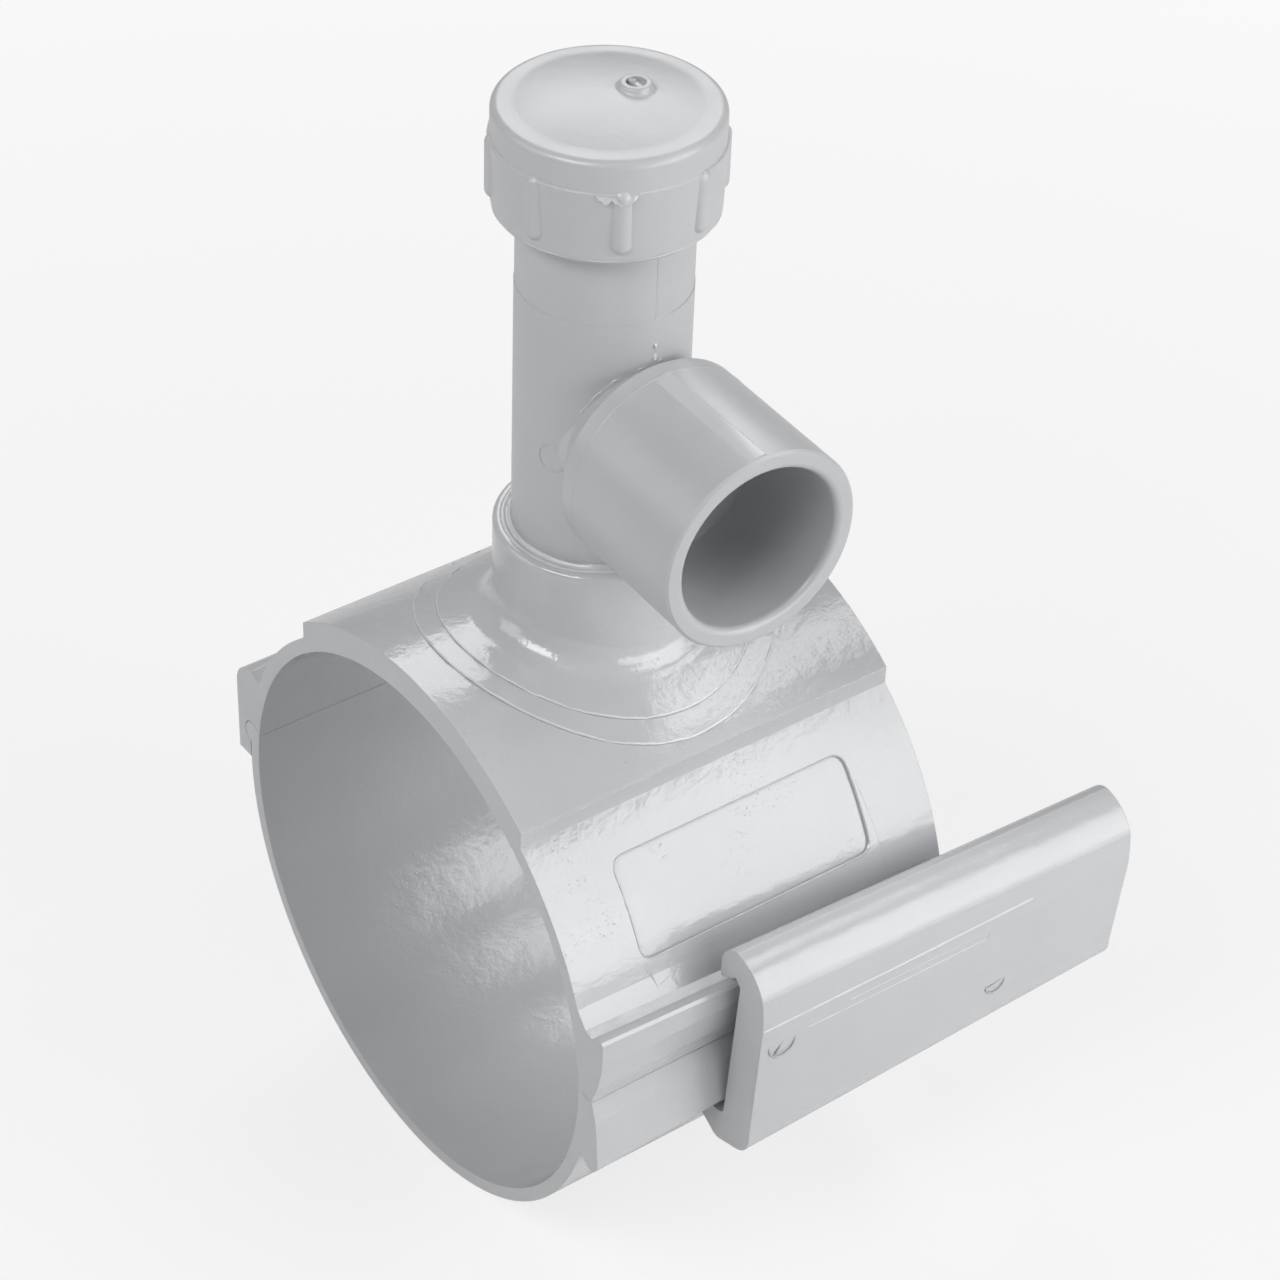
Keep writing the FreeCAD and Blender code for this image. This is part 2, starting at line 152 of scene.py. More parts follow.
def noise(tree, coords, scale, detail=3.0, roughness=0.5, distortion=0.0):
    made = node(tree, "ShaderNodeTexNoise", Scale=scale, Detail=detail, Roughness=roughness,
                Distortion=distortion)
    tree.links.new(coords, made.inputs["Vector"])
    return made.outputs["Fac"]


def remap(tree, value, low, high, to_low, to_high):
    made = node(tree, "ShaderNodeMapRange", From_Min=low, From_Max=high, To_Min=to_low,
                To_Max=to_high)
    tree.links.new(value, made.inputs["Value"])
    return made.outputs["Result"]


def calculate(tree, operation, first, second):
    made = node(tree, "ShaderNodeMath")
    made.operation = operation
    for socket, value in zip(made.inputs, (first, second)):
        if isinstance(value, (int, float)):
            socket.default_value = value
        else:
            tree.links.new(value, socket)
    return made.outputs["Value"]


def bump(tree, height, distance, normal=None):
    made = node(tree, "ShaderNodeBump", Distance=distance, Strength=1.0)
    tree.links.new(height, made.inputs["Height"])
    if normal is not None:
        tree.links.new(normal, made.inputs["Normal"])
    return made.outputs["Normal"]


def two_shades(tree, value, first, second):
    made = node(tree, "ShaderNodeMix")
    made.data_type = "RGBA"
    made.inputs["A"].default_value = (*first, 1.0)
    made.inputs["B"].default_value = (*second, 1.0)
    tree.links.new(value, made.inputs["Factor"])
    return made.outputs["Result"]


def coordinates(tree):
    return node(tree, "ShaderNodeTexCoord").outputs["Object"]


def distance_from_origin(tree, vector):
    made = node(tree, "ShaderNodeVectorMath")
    made.operation = "LENGTH"
    tree.links.new(vector, made.inputs[0])
    return made.outputs["Value"]


def shade(level):
    """A grey of a screen value from 0 to 255, as linear light, a little blue."""
    slightly_blue = (0.982, 0.995, 1.023)
    screen = level / 255.0
    linear = ((screen + 0.055) / 1.055) ** 2.4
    return tuple(linear * part for part in slightly_blue)


# %% [markdown]
# ## Moulded grey plastic
# The saddle, the wedge, the tee and the cap are all light grey rigid PVC. It is glossy where the
# mould was polished, and never quite even: the shade drifts with the flow, the skin has a fine
# orange peel, and broad ripples bend the reflections. The tee and the cap come from another mould
# with a satin skin. One function makes every skin from its gloss, its peel and its ripple, and it
# rounds the sharp edges of the solids by the width of a mould's edge. The roughness varies only a
# little, so each skin stays wholly glossy or wholly satin.

# %% Plastic
pvc_refraction, pvc_specular = 1.52, 0.8
cloud_share, fleck_share = 0.8, 0.2
smoother, rougher = 0.04, 0.06


def plastic(name, level, gloss, peel, ripple, edge=0.5):
    """Makes a moulded skin; peel, ripple and edge are in millimetres."""
    material, tree, shader = new_material(name)
    coords = coordinates(tree)
    cloud = calculate(tree, "MULTIPLY", noise(tree, coords, 22.0, 4.0), cloud_share)
    fleck = calculate(tree, "MULTIPLY", noise(tree, coords, 900.0, 2.0), fleck_share)
    drift = remap(tree, calculate(tree, "ADD", cloud, fleck), 0.35, 0.65, 0.0, 1.0)
    mixed = two_shades(tree, drift, shade(level - 3), shade(level + 2))
    patch = noise(tree, coords, 60.0, 5.0, 0.6)
    rough = remap(tree, patch, 0.3, 0.7, gloss - smoother, gloss + rougher)
    rounded = node(tree, "ShaderNodeBevel", Radius=edge * MM)
    rounded.samples = 6
    surface = bump(tree, noise(tree, coords, 38.0, 2.0), ripple * MM, rounded.outputs["Normal"])
    surface = bump(tree, noise(tree, coords, 210.0, 3.0, 0.55), 4.0 * peel * MM, surface)
    surface = bump(tree, noise(tree, coords, 1100.0, 3.0, 0.6), peel * MM, surface)
    tree.links.new(mixed, shader.inputs["Base Color"])
    tree.links.new(rough, shader.inputs["Roughness"])
    tree.links.new(surface, shader.inputs["Normal"])
    shader.inputs["IOR"].default_value = pvc_refraction
    shader.inputs["Specular IOR Level"].default_value = pvc_specular
    return material, tree, shader, coords


def source_of(tree, socket):
    return next(link.from_socket for link in tree.links if link.to_socket == socket)


def blend_in(tree, socket, mask, value):
    """Moves a roughness towards a value where the mask is one."""
    made = node(tree, "ShaderNodeMix")
    tree.links.new(mask, made.inputs["Factor"])
    tree.links.new(source_of(tree, socket), made.inputs["A"])
    made.inputs["B"].default_value = value
    tree.links.new(made.outputs["Result"], socket)


def emboss(tree, shader, height, depth):
    """Lays one more bump over the surface that the shader has."""
    surface = source_of(tree, shader.inputs["Normal"])
    tree.links.new(bump(tree, height, depth * MM, surface), shader.inputs["Normal"])


# %% [markdown]
# ## Sawn ends and the glued boss
# The end faces of the saddle and of the wedge are cut, so they are dull, with fine saw marks, while
# the moulded skin shines. They lie at known places along X, so a mask from the X coordinate finds
# them. Round the boss the skin is smeared with cement, which dries as a clear, rippled gloss. That
# mask is the distance from the tower's axis, made ragged by noise.

# %% Sawn ends
cut_skin = 0.12
cut_roughness = 0.5


def sawn_ends(tree, shader, coords, low, high):
    along = node(tree, "ShaderNodeSeparateXYZ")
    tree.links.new(coords, along.inputs["Vector"])
    before = calculate(tree, "LESS_THAN", along.outputs["X"], (low + cut_skin) * MM)
    after = calculate(tree, "GREATER_THAN", along.outputs["X"], (high - cut_skin) * MM)
    mask = calculate(tree, "MAXIMUM", before, after)
    blend_in(tree, shader.inputs["Roughness"], mask, cut_roughness)
    marks = node(tree, "ShaderNodeTexWave", Scale=120.0, Distortion=3.0, Detail=3.0)
    marks.bands_direction = "Z"
    tree.links.new(coords, marks.inputs["Vector"])
    emboss(tree, shader, calculate(tree, "MULTIPLY", marks.outputs["Fac"], mask), 0.05)


# %% Cement smear
smear_inside, smear_outside, smear_raggedness = 56.0, 60.0, 26.0
smear_roughness = 0.045


def smeared(tree, shader, coords):
    flat = node(tree, "ShaderNodeVectorMath")
    flat.operation = "MULTIPLY"
    flat.inputs[1].default_value = (1.0, 1.0, 0.0)
    tree.links.new(coords, flat.inputs[0])
    reach = distance_from_origin(tree, flat.outputs["Vector"])
    ragged = calculate(tree, "MULTIPLY", noise(tree, coords, 55.0, 4.0), smear_raggedness * MM)
    edge = calculate(tree, "ADD", reach, ragged)
    mask = remap(tree, edge, smear_outside * MM, smear_inside * MM, 0.0, 1.0)
    blend_in(tree, shader.inputs["Roughness"], mask, smear_roughness)
    ripples = calculate(tree, "MULTIPLY", noise(tree, coords, 240.0, 4.0, 0.6, 0.6), mask)
    emboss(tree, shader, ripples, 0.08)


# %% [markdown]
# ## Specks and pits
# The pad is dotted with tiny pits and grains where dust lay in the mould. The peaks of a fine noise
# find them, and a coarser noise gathers them into clusters.

# %% Specks


def speckled(tree, shader, coords, depth):
    peaks = remap(tree, noise(tree, coords, 1250.0, 1.0), 0.66, 0.74, 0.0, 1.0)
    clusters = remap(tree, noise(tree, coords, 48.0, 4.0, 0.6), 0.5, 0.62, 0.0, 1.0)
    emboss(tree, shader, calculate(tree, "MULTIPLY", peaks, clusters), depth)


# %% [markdown]
# ## The plastics
# The saddle and the wedge are the glossiest. The tee and the cap are from another mould with a
# satin skin, a shade darker. The flash is much paler than the moulding: partly the whitening of
# stretched, scuffed flash, partly a painted highlight along its thin edges. The flash and the fine
# lines have almost no rounding, which would hide such thin pieces.

# %% Plastic finishes
saddle_plastic, tree, shader, coords = plastic("saddle_plastic", 206, 0.07, 0.048, 0.50, 0.22)
smeared(tree, shader, coords)
speckled(tree, shader, coords, 0.10)
sawn_ends(tree, shader, coords, saddle_low[0], saddle_high[0])

lower_plastic, tree, shader, coords = plastic("lower_plastic", 206, 0.13, 0.045, 0.45, 0.22)
speckled(tree, shader, coords, 0.08)
sawn_ends(tree, shader, coords, saddle_low[0], saddle_high[0])

wedge_plastic, tree, shader, coords = plastic("wedge_plastic", 206, 0.20, 0.030, 0.35)
sawn_ends(tree, shader, coords, wedge_low[0], wedge_high[0])

tee_plastic = plastic("tee_plastic", 200, 0.33, 0.020, 0.25, 0.3)[0]
cap_plastic = plastic("cap_plastic", 201, 0.33, 0.024, 0.30, 0.4)[0]
fine_line = plastic("fine_line", 211, 0.20, 0.010, 0.1, 0.03)[0]
# The flash's pale shade is partly painted highlight.
flash_and_painted_highlight = plastic("flash_and_painted_highlight", 228, 0.2, 0.015, 0.1, 0.03)[0]
skins = (saddle_plastic, lower_plastic, wedge_plastic, tee_plastic, cap_plastic, fine_line,
         flash_and_painted_highlight)
print("plastics:", [skin.name for skin in skins])

# %% [markdown]
# ## Rubber, brass and steel
# These are inside the tower and only show when the cap is off. The rubber is black and dull, the
# brass plug has turned rings round its axis, and the cutter is ground steel.

# %% Inner materials


def rubber():
    material, tree, shader = new_material("black_rubber")
    coords = coordinates(tree)
    dust = remap(tree, noise(tree, coords, 90.0, 4.0), 0.4, 0.7, 0.0, 1.0)
    black = two_shades(tree, dust, (0.012, 0.012, 0.013), (0.03, 0.03, 0.031))
    tree.links.new(black, shader.inputs["Base Color"])
    tree.links.new(remap(tree, dust, 0.0, 1.0, 0.5, 0.7), shader.inputs["Roughness"])
    tree.links.new(bump(tree, noise(tree, coords, 1200.0), 0.02 * MM), shader.inputs["Normal"])
    return material


def turned_metal(name, dark, light, roughness, ring_scale, depth):
    material, tree, shader = new_material(name)
    coords = coordinates(tree)
    rings = node(tree, "ShaderNodeTexWave", Scale=ring_scale, Distortion=0.4, Detail=2.0)
    rings.bands_direction = "Z"
    tree.links.new(coords, rings.inputs["Vector"])
    stain = remap(tree, noise(tree, coords, 70.0, 4.0), 0.35, 0.7, 0.0, 1.0)
    tree.links.new(two_shades(tree, stain, dark, light), shader.inputs["Base Color"])
    dulled = remap(tree, stain, 0.0, 1.0, roughness, roughness + 0.12)
    tree.links.new(dulled, shader.inputs["Roughness"])
    tree.links.new(bump(tree, rings.outputs["Fac"], depth * MM), shader.inputs["Normal"])
    shader.inputs["Metallic"].default_value = 1.0
    return material


black_rubber = rubber()
brass = turned_metal("turned_brass", (0.42, 0.25, 0.07), (0.66, 0.44, 0.16), 0.24, 99.0, 0.4)
steel = turned_metal("ground_steel", (0.30, 0.30, 0.31), (0.50, 0.50, 0.51), 0.22, 900.0, 0.02)

finish = {
    "upper_saddle": saddle_plastic,
    "lower_saddle": lower_plastic,
    "wedge": wedge_plastic,
    "tee_body": tee_plastic,
    "cap": cap_plastic,
    "branch_oring": black_rubber,
    "cap_seal": black_rubber,
    "carrier_oring": black_rubber,
    "cutter_carrier": brass,
    "cutter": steel,
}
for name, material in finish.items():
    nodes[name].data.materials.clear()
    nodes[name].data.materials.append(material)
    print(name, "->", material.name)

# %% [markdown]
# ## Pieces from bmesh
# The fine detail is made with bmesh operators. Each piece is finished the same way: doubles are
# merged, normals are turned outwards, the mesh goes into an object at the origin, and the object
# rides on the body that carries it.

# %% Piece helpers


def finish_piece(name, bm, material, body, smooth=True):
    bmesh.ops.remove_doubles(bm, verts=bm.verts, dist=0.002 * MM)
    bmesh.ops.recalc_face_normals(bm, faces=bm.faces)
    mesh = bpy.data.meshes.new(name)
    bm.to_mesh(mesh)
    bm.free()
    mesh.materials.append(material)
    for polygon in mesh.polygons:
        polygon.use_smooth = smooth
    piece = bpy.data.objects.new(name, mesh)
    bpy.context.scene.collection.objects.link(piece)
    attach(piece, body)
    print(name, len(mesh.polygons), "faces")


def spun(bm, points, steps, angle=2 * pi, rise=0.0):
    """Turns a closed profile of (radius, height) round Z; with a rise it climbs like a thread."""
    verts = [bm.verts.new(Vector((r, 0.0, z)) * MM) for r, z in points]
    edges = [bm.edges.new((verts[i], verts[(i + 1) % len(verts)])) for i in range(len(verts))]
    full = angle == 2 * pi and rise == 0.0
    bmesh.ops.spin(bm, geom=verts + edges, cent=(0, 0, 0), axis=(0, 0, 1), angle=angle, steps=steps,
                   dvec=(0, 0, rise / steps * MM), use_merge=full, use_duplicate=False)
    if not full:
        bmesh.ops.holes_fill(bm, edges=[e for e in bm.edges if e.is_boundary], sides=0)


def rotation(angle, axis):
    return Matrix.Rotation(angle, 3, axis)


# %% [markdown]
# ## Threads
# A coarse thread holds the cap on the tower's neck. It hides under the cap until the cap is
# unscrewed. A screw spin makes it: the ridge's small profile turns and climbs at the same time.
# The cap's own thread is the same ridge half a pitch higher and pointing in.

# %% Neck and cap threads
pitch = 4.2
neck_r = 22.7
cap_bore_r = 24.45
ridge_half = 0.95
crest_half = 0.35
ridge_depth = 1.3
thread_sink = 0.05
neck_turns = 4.0
neck_start = 227.5
steps_per_turn = 56


def thread(name, root_r, crest_r, start, turns, material, body):
    bm = bmesh.new()
    spun(bm, [(root_r, start - ridge_half), (crest_r, start - crest_half),
              (crest_r, start + crest_half), (root_r, start + ridge_half)],
         int(steps_per_turn * turns), 2 * pi * turns, pitch * turns)
    finish_piece(name, bm, material, body, smooth=False)


thread("neck_thread", neck_r - thread_sink, neck_r + ridge_depth, neck_start, neck_turns,
       tee_plastic, "saddle")
thread("cap_inner_thread", cap_bore_r + thread_sink, cap_bore_r - ridge_depth,
       neck_start + pitch / 2, neck_turns - 0.5, cap_plastic, "cap")

# %% [markdown]
# ## The cement bead
# The tee is glued into the boss with solvent cement, and the surplus stands in the groove between
# them as a glossy, slightly uneven ring. It is a spun profile whose points are then pushed up and
# down a little with a few sine waves round the ring.

# %% Cement
cement, tree, shader = new_material("set_cement")
coords = coordinates(tree)
# The cement's shade is painted paler than the plastic: it offsets the shade of the groove it sits
# in and paints part of the bright line on the collar. The cloudy change of tone is its own.
cement_tone_and_painted_light = two_shades(tree, noise(tree, coords, 120.0, 3.0), shade(208), shade(222))
tree.links.new(cement_tone_and_painted_light, shader.inputs["Base Color"])
tree.links.new(bump(tree, noise(tree, coords, 260.0, 3.0), 0.12 * MM), shader.inputs["Normal"])
shader.inputs["Roughness"].default_value = 0.08

bead_profile = [(-0.05, -1.4), (0.03, 0.9), (0.4, 0.45), (0.8, -0.1), (1.5, -0.15), (1.9, 0.3),
                (2.5, 0.36), (3.1, 0.06), (2.9, -0.3), (1.2, -1.5)]
bead = bmesh.new()
spun(bead, [(riser_r + out, boss_top + above_top) for out, above_top in bead_profile], 240)
lump_at, lump_width = radians(-128.0), radians(9.0)
for vert in bead.verts:
    around = atan2(vert.co.y, vert.co.x)
    if vert.co.z > (boss_top - 0.6) * MM:
        wave = 0.14 * sin(3 * around + 1.0) + 0.10 * sin(7 * around + 2.2)
        wave += 0.06 * sin(13 * around)
        crumb = unevenness.noise(vert.co * 900.0) * 0.16
        lump = 0.5 * max(0.0, 1.0 - abs(around - lump_at) / lump_width)
        vert.co.z += (wave + crumb + lump * (0.6 + crumb * 3)) * MM
        grow = 1.0 + 0.004 * sin(5 * around + 0.7) + 0.002 * sin(11 * around)
        vert.co.x *= grow
        vert.co.y *= grow
finish_piece("cement_bead", bead, cement, "saddle")

# %% [markdown]
# ## Mould flash on the step rings
# Where two mould inserts meet, the plastic creeps a little way into the joint and leaves a thin,
# broken line of flash. The edges of both step rings carry one. Each is a small ridge spun flat and
# then lowered on to the round of the pad, with its height broken up by noise.

# %% Ring flash
boss_above_rings, ring_step = 27.4, 0.6
pad_r = boss_top - boss_above_rings - 2 * ring_step
flash_profile = [(-0.2, -0.10), (-0.03, 0.15), (0.12, 0.15), (0.28, -0.06), (0.34, -0.5),
                 (0.1, -0.5)]


def ring_flash(name, radius, surface_r):
    bm = bmesh.new()
    spun(bm, [(radius + out, height) for out, height in flash_profile], 420)
    for vert in bm.verts:
        height = vert.co.z
        ragged = 0.7 + 2.6 * unevenness.noise(vert.co * 170.0)
        ragged += 1.2 * unevenness.noise(vert.co * 900.0)
        if height > -0.4 * MM:
            height += (min(ragged, 1.6) - 1.0) * 0.2 * MM
        vert.co.z = sqrt((surface_r * MM) ** 2 - vert.co.y ** 2) + height
    # The pale shade of the ring flash paints part of the highlight along each ring's edge.
    finish_piece(name, bm, flash_and_painted_highlight, "saddle")


ring_flash("ring_flash_big", 51.2, pad_r + ring_step)
ring_flash("ring_flash_small", 44.7, pad_r + 2 * ring_step)

# %% [markdown]
# ## Thin ridges along a path
# Parting lines, scored lines and insert marks are all thin ridges that follow a path on a surface.
# One function makes them: a small profile stands at the first point, and each further point
# extrudes it onwards and turns it with the path. Its crest is uneven, because a trimmed line of
# flash never is straight, and its foot lies a little below the surface, so that no slit shows.

# %% Ridge helper
ridge_foot = -0.12


def ridge(bm, path, outward, width, height, broken=0.0, step=1.5):
    outward = Vector(outward).normalized()
    spots = []
    for start, end in zip(path, path[1:]):
        start, end = Vector(start), Vector(end)
        parts = max(1, int((end - start).length / step))
        spots += [start.lerp(end, i / parts) for i in range(parts)]
    spots.append(Vector(path[-1]))
    headings = [(there - here).normalized() for here, there in zip(spots, spots[1:])]
    side = headings[0].cross(outward).normalized()
    foot = outward * ridge_foot
    profile = [side * -width / 2 + foot, outward * height, side * width / 2 + foot]
    verts = [bm.verts.new((spots[0] + p) * MM) for p in profile]
    face = bm.faces.new(verts)
    for i, (here, there) in enumerate(zip(spots, spots[1:])):
        grown = bmesh.ops.extrude_face_region(bm, geom=[face])
        face = next(g for g in grown["geom"] if isinstance(g, bmesh.types.BMFace))
        verts = [g for g in grown["geom"] if isinstance(g, bmesh.types.BMVert)]
        bmesh.ops.translate(bm, verts=verts, vec=(there - here) * MM)
        if i + 1 < len(headings):
            bend = headings[i].rotation_difference(headings[i + 1]).to_matrix()
            bmesh.ops.rotate(bm, verts=verts, cent=there * MM, matrix=bend)
    if broken:
        for vert in bm.verts:
            vert.co += outward * (broken * height * unevenness.noise(vert.co * 1100.0) * MM)


# %% [markdown]
# ## The wedge's marks
# The broad face of the wedge keeps two scored lines, a faint step under its shoulder and two round
# marks of the mould's pins, each with a bar across. The lines are ridges that lie on the face. A
# round mark is a tiny ring, spun flat and stood up against the face.

# %% Wedge marks
face_y = -109.38
shoulder_y, shoulder_low_y, shoulder_end_y = -109.25, -109.12, -109.18


def wedge_line(name, points, width, height):
    bm = bmesh.new()
    ridge(bm, points, (0, -1, 0), width, height, 0.3)
    finish_piece(name, bm, fine_line, "wedge", smooth=False)


score_path = [(-19.4, face_y, 20.4), (29.2, face_y, 19.6), (79.0, face_y, 19.1)]
low_start, low_bend = (-3.0, shoulder_low_y, 13.0), (30.2, shoulder_low_y, 12.1)
low_end, top_end = (63.0, shoulder_end_y, 11.7), (62.9, shoulder_y, 14.6)
wedge_line("wedge_score_long", score_path, 0.9, 0.42)
wedge_line("wedge_score_low", [low_start, low_bend, low_end], 0.5, 0.2)
wedge_line("wedge_score_end", [low_end, top_end], 0.5, 0.2)
wedge_line("wedge_score_top", [(12.0, shoulder_y, 15.6), top_end], 0.5, 0.2)

# %% Pin marks of the wedge
pin_profile = [(-0.35, -0.1), (-0.12, 0.1), (0.12, 0.1), (0.35, -0.1)]
bar_share = 0.8
face_lean = radians(86.5)


def pin_mark(name, x, y, z, radius, tilt):
    bm = bmesh.new()
    spun(bm, [(radius + out, height) for out, height in pin_profile], 48)
    ridge(bm, [(-radius * bar_share, 0, 0), (radius * bar_share, 0, 0)], (0, 0, 1), 0.9, 0.14)
    bmesh.ops.rotate(bm, verts=bm.verts, matrix=rotation(tilt, "Z"))
    bmesh.ops.rotate(bm, verts=bm.verts, matrix=rotation(face_lean, "X"))
    bmesh.ops.translate(bm, verts=bm.verts, vec=Vector((x, y, z)) * MM)
    finish_piece(name, bm, wedge_plastic, "wedge")


pin_mark("pin_mark_wide_end", -12.0, -109.02, 11.8, 4.6, radians(50.0))
pin_mark("pin_mark_narrow_end", 70.0, -107.5, -11.3, 3.6, radians(8.0))

# %% [markdown]
# ## The tee's mould lines
# The tee's mould opens along the plane of its tower and its outlet, so a trimmed line runs up the
# tower and along the top and the bottom of the outlet. The tee is glued a little off square, so
# most of these pieces are made square and turned with it. Where the outlet meets the tower, the
# bright reflection on the fillet is painted in its place as a thin pale bead.

# %% Tee lines
outlet_z, outlet_r, outlet_mouth, neck_bottom = 158.1, 29.9, 75.4, 224.5
outlet_root = 31.0
line_top, line_mouth = neck_bottom - 2, outlet_mouth - 1
parting_x = 0.2


def turn_with_tee(bm):
    bmesh.ops.rotate(bm, verts=bm.verts, matrix=rotation(tee_turn, "Z"))


def up_tower(side, from_z):
    return [(parting_x, side * riser_r, from_z), (parting_x, side * riser_r, line_top)]


def along_outlet(side):
    line_z = outlet_z + side * outlet_r
    return [(parting_x, -outlet_root, line_z), (parting_x, -line_mouth, line_z)]


lines = bmesh.new()
ridge(lines, up_tower(-1, 188.5), (0, -1, 0), 0.3, 0.02, 1.2, 1.0)
ridge(lines, up_tower(1, boss_top + 2), (0, 1, 0), 0.5, 0.07, 1.2, 1.0)
ridge(lines, along_outlet(-1), (0, 0, -1), 0.5, 0.08, 1.2, 1.0)
ridge(lines, along_outlet(1), (0, 0, 1), 0.7, 0.16, 2.2, 0.7)
turn_with_tee(lines)
# The pale shade of these lines is partly painted highlight along the tower and the outlet.
finish_piece("tee_parting_lines", lines, flash_and_painted_highlight, "saddle", smooth=False)

junction = bmesh.new()
crease = [(-18.5, -15.5, 172.6), (-15.4, -18.6, 179.0), (-11.6, -21.2, 183.6),
          (-5.0, -23.6, 186.3), (1.4, -24.1, 187.2)]
ridge(junction, crease, (-0.45, -0.65, 0.6), 0.6, 0.2, 0.8, 0.8)
# A pale bead that paints the reflection on the junction's fillet.
finish_piece("tee_junction_highlight", junction, flash_and_painted_highlight, "saddle", smooth=False)

# %% [markdown]
# ## Marks round the outlet and the tower
# A fine ring marks the outlet's root, and a crumb of flash is left on the tower above it. One half
# of the mould stood a little proud, which leaves a narrow band along the outlet that sinks into it
# at one side. The ring and the band are spun round Z and laid over to the outlet's direction. The
# pin's mark is a flat ring that is then wrapped round the tower.

# %% Root line and crumb


def onto_outlet(bm, *turns):
    for angle, axis in turns:
        bmesh.ops.rotate(bm, verts=bm.verts, matrix=rotation(radians(angle), axis))
    bmesh.ops.translate(bm, verts=bm.verts, vec=(0, 0, outlet_z * MM))
    turn_with_tee(bm)


root_line = bmesh.new()
root_profile = [(-0.2, 30.8), (0.1, 31.1), (0.1, 31.4), (-0.2, 31.9)]
spun(root_line, [(outlet_r + out, along) for out, along in root_profile], 120)
onto_outlet(root_line, (90.0, "X"))
finish_piece("outlet_root_line", root_line, tee_plastic, "saddle")

flash_crumb = bmesh.new()
crumb_path = [(parting_x, -riser_r, 187.6), (parting_x + 0.2, -riser_r, 194.0)]
ridge(flash_crumb, crumb_path, (0, -1, 0), 1.1, 0.4, 2.6, 0.5)
turn_with_tee(flash_crumb)
# The crumb's pale shade is partly painted highlight.
finish_piece("tee_flash", flash_crumb, flash_and_painted_highlight, "saddle", smooth=False)

# %% Trim band
band_angle, band_inner, band_outer, band_sink = 9.6, outlet_r - 0.4, outlet_r + 0.28, 0.29
band_end = outlet_mouth - 1.2
band = bmesh.new()
spun(band, [(band_inner, outlet_root), (band_outer, outlet_root), (band_outer, band_end),
            (band_inner, band_end)], 8, radians(band_angle))
for vert in band.verts:
    around = degrees(atan2(vert.co.y, vert.co.x))
    if hypot(vert.co.x, vert.co.y) > outlet_r * MM:
        sink = 1.0 - band_sink / outlet_r * around / band_angle
        vert.co.x *= sink
        vert.co.y *= sink
onto_outlet(band, (90.0, "X"), (-90.0, "Y"))
finish_piece("outlet_trim_band", band, fine_line, "saddle", smooth=False)

# %% Pin mark
mark = bmesh.new()
spun(mark, [(3.7, -0.1), (3.95, 0.2), (4.2, 0.2), (4.45, -0.1)], 48)
mark_at, mark_z = radians(-159.0), 155.4
for vert in mark.verts:
    around, up_by, out_by = vert.co.x / (riser_r * MM), vert.co.y, vert.co.z
    angle, reach = mark_at + around, riser_r * MM + out_by
    vert.co = Vector((reach * cos(angle), reach * sin(angle), mark_z * MM + up_by))
finish_piece("tee_pin_mark", mark, tee_plastic, "saddle")

# %% [markdown]
# ## The cap's torn line
# The cap's skirt and crown meet at a line that was trimmed by hand. Most of it is a faint ridge,
# and over the front rib a torn piece of flash is left. The gate on top keeps a small broken stub.

# %% Cap line
torn_at, torn_width = -122.0, 11.0
cap_line_r = 31.2
cap_line = bmesh.new()
spun(cap_line, [(30.9, 244.1), (31.32, 244.32), (31.3, 244.5), (30.6, 244.75)], 240)
for vert in cap_line.verts:
    around = degrees(atan2(vert.co.y, vert.co.x))
    torn = min(1.0, 2.0 * max(0.0, 1.0 - abs(around - torn_at) / torn_width))
    rough_edge = unevenness.noise(vert.co * 420.0)
    if hypot(vert.co.x, vert.co.y) > cap_line_r * MM:
        grain = unevenness.noise(vert.co * 2600.0)
        grow = 1.0 + 0.009 * rough_edge - 0.003
        grow += torn * (0.03 + 0.02 * rough_edge + 0.02 * grain)
        vert.co.x *= grow
        vert.co.y *= grow
        vert.co.z -= torn * (2.4 + 1.6 * rough_edge + 0.9 * grain) * MM
finish_piece("cap_trim_line", cap_line, fine_line, "cap", smooth=False)

# %% Skirt edge and gate
skirt_edge = bmesh.new()
spun(skirt_edge, [(29.9, 224.0), (30.32, 224.1), (30.36, 224.42), (29.9, 224.7)], 240)
for vert in skirt_edge.verts:
    outward = Vector((vert.co.x, vert.co.y, 0.0))
    vert.co += outward * (0.008 * unevenness.noise(vert.co * 200.0) - 0.002)
# The ring is a small lip in the fine_line shade, paler than the cap, which paints part of the
# highlight on the skirt's bottom edge.
finish_piece("cap_skirt_highlight_edge", skirt_edge, fine_line, "cap")

stub = bmesh.new()
bmesh.ops.create_cone(stub, cap_ends=True, segments=14, radius1=0.85 * MM, radius2=0.45 * MM,
                      depth=1.1 * MM)
bmesh.ops.translate(stub, verts=stub.verts, vec=Vector((7.1, -0.6, 257.2)) * MM)
for vert in stub.verts:
    vert.co += Vector((0.25, 0.1, 0.2)) * (unevenness.noise(vert.co * 1500.0) * MM)
finish_piece("gate_stub", stub, cap_plastic, "cap", smooth=False)

# %% [markdown]
# ## Insert lines below the panel
# The panel is a separate insert in the mould, so its sides run on as faint lines down to the
# flange. Each is a ridge that follows the round wall in short steps.

# %% Insert lines
wall_r = 88.8
wall_line_steps = 7


